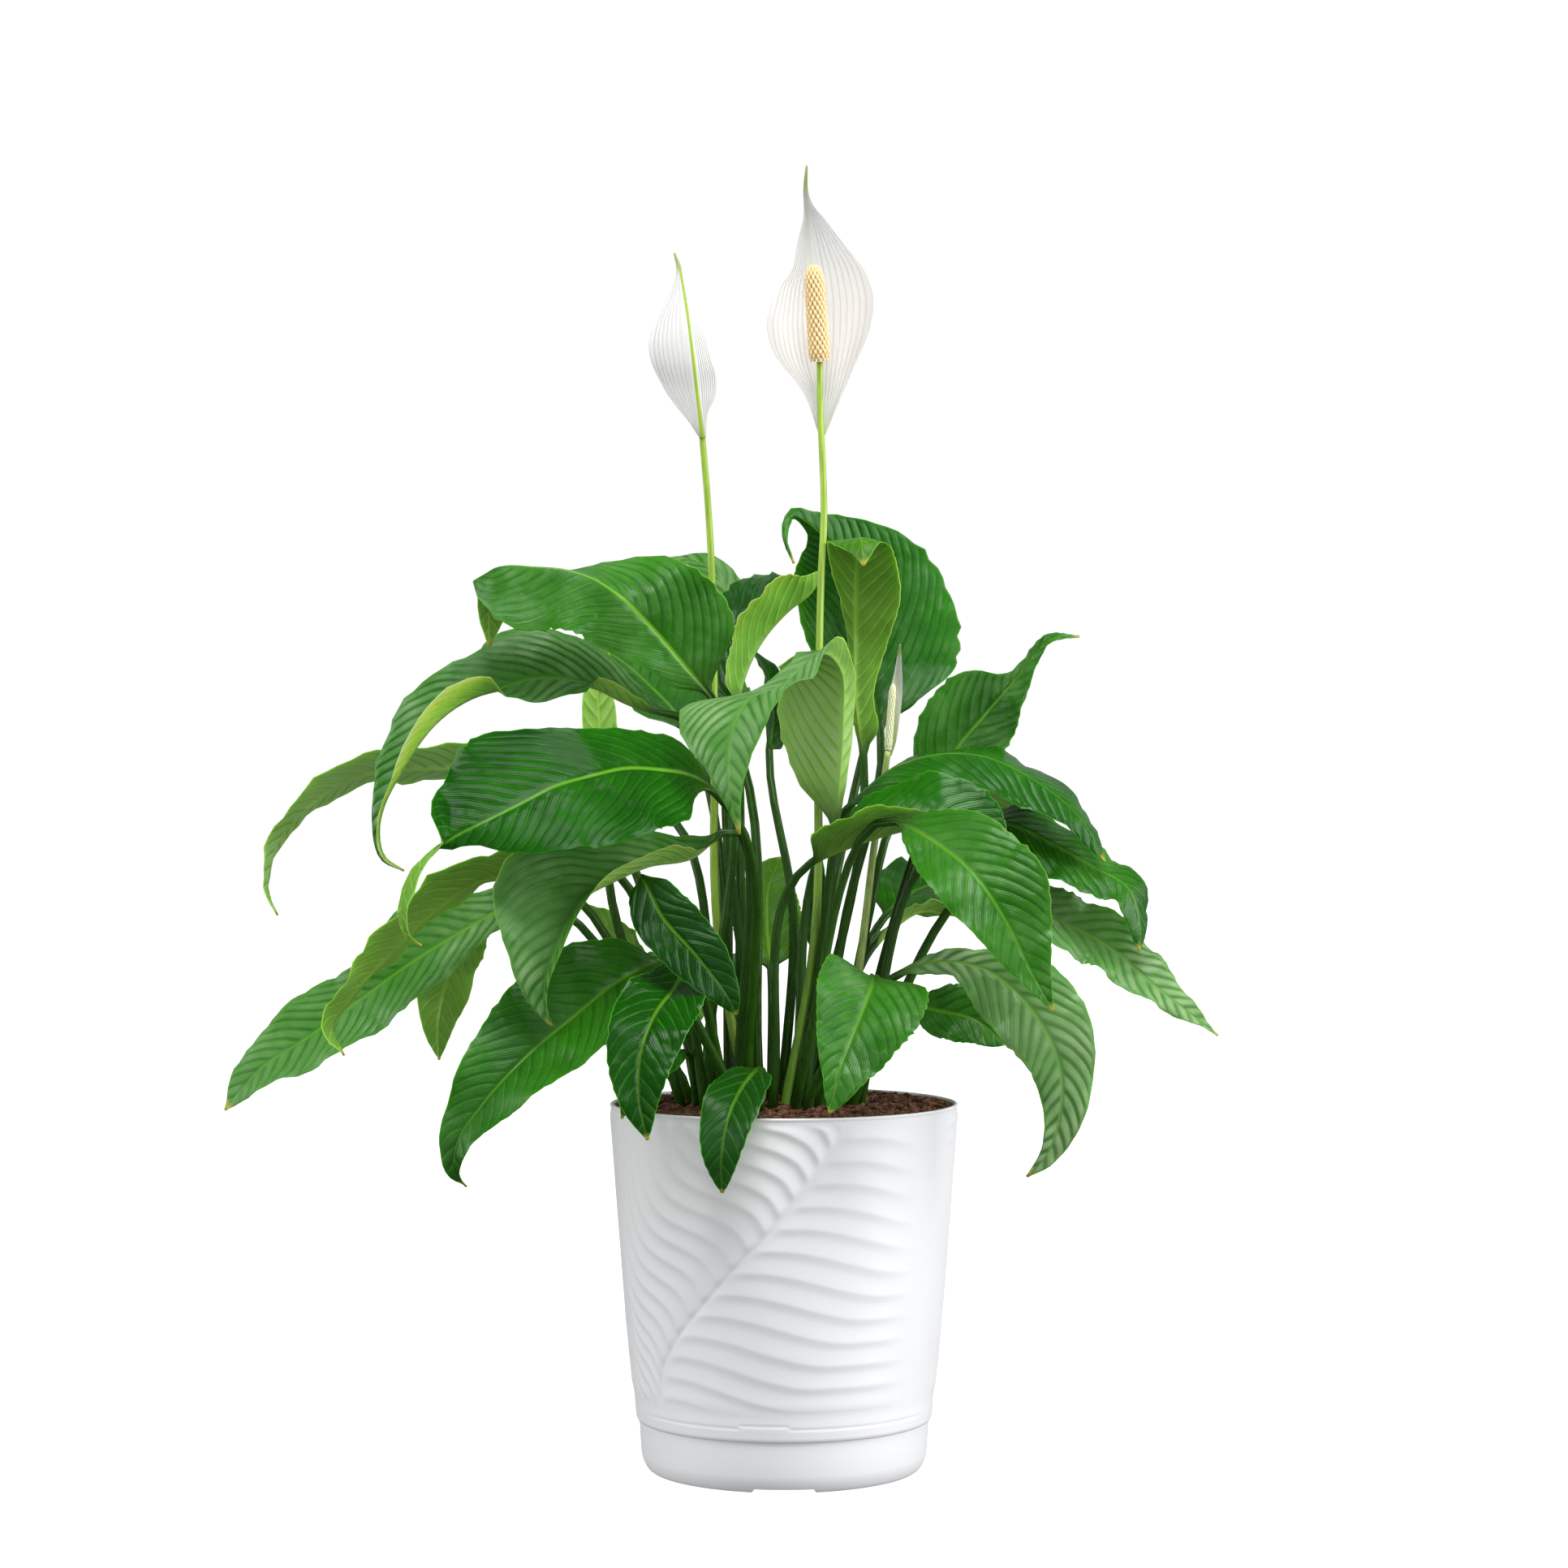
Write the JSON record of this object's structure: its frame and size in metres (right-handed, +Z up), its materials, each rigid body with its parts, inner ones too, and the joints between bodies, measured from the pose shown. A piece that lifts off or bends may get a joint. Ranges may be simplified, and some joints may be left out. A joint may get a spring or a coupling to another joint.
{
  "type": "potted peace lily",
  "caption": "Peace lily in a white ribbed pot on a clip-on saucer: a crown of arching glossy leaves on thin stalks, with upright white blooms and a closed bud.",
  "frame": {"origin": "on the floor, at the middle of the saucer's underside, on the axis of the pot", "axes": "+Z up along the axis of the pot; -Y towards the front, the side the picture shows; +X to the right seen from the front"},
  "size_m": [0.4803, 0.3116, 0.6369],
  "materials": {
    "white_plastic": "satin",
    "soil": "matte",
    "leaf_deep": "satin",
    "leaf_mid": "satin",
    "leaf_pale": "satin",
    "stalk": "satin",
    "spathe": "matte",
    "spadix": "matte"
  },
  "bodies": {
    "root": {"flower_1_spadix": "spadix", "flower_1_spathe": "spathe", "flower_1_stalk": "stalk", "flower_2_spadix": "spadix", "flower_2_spathe": "spathe", "flower_2_stalk": "stalk", "flower_3_spadix": "spadix", "flower_3_spathe": "spathe", "flower_3_stalk": "stalk", "leaf_01": "leaf_mid", "leaf_02": "leaf_deep", "leaf_03": "leaf_deep", "leaf_04": "leaf_mid", "leaf_05": "leaf_mid", "leaf_06": "leaf_pale", "leaf_07": "leaf_deep", "leaf_08": "leaf_mid", "leaf_09": "leaf_mid", "leaf_10": "leaf_mid", "leaf_11": "leaf_deep", "leaf_12": "leaf_mid", "leaf_13": "leaf_mid", "leaf_14": "leaf_mid", "leaf_15": "leaf_mid", "leaf_16": "leaf_mid", "leaf_17": "leaf_deep", "leaf_18": "leaf_deep", "leaf_19": "leaf_mid", "leaf_20": "leaf_mid", "leaf_21": "leaf_mid", "leaf_22": "leaf_deep", "leaf_23": "leaf_pale", "leaf_24": "leaf_mid", "leaf_25": "leaf_mid", "leaf_26": "leaf_mid", "leaf_27": "leaf_deep", "leaf_28": "leaf_pale", "leaf_29": "leaf_pale", "leaf_30": "leaf_pale", "leaf_31": "leaf_deep", "leaf_32": "leaf_mid", "leaf_33": "leaf_mid", "leaf_34": "leaf_pale", "leaf_35": "leaf_mid", "leaf_36": "leaf_deep", "leaf_37": "leaf_mid", "leaf_38": "leaf_deep", "leaf_39": "leaf_mid", "leaf_40": "leaf_mid", "leaf_41": "leaf_mid", "leaf_42": "leaf_mid", "pot": "white_plastic", "saucer": "white_plastic", "soil": "soil"}
  },
  "joints": []
}
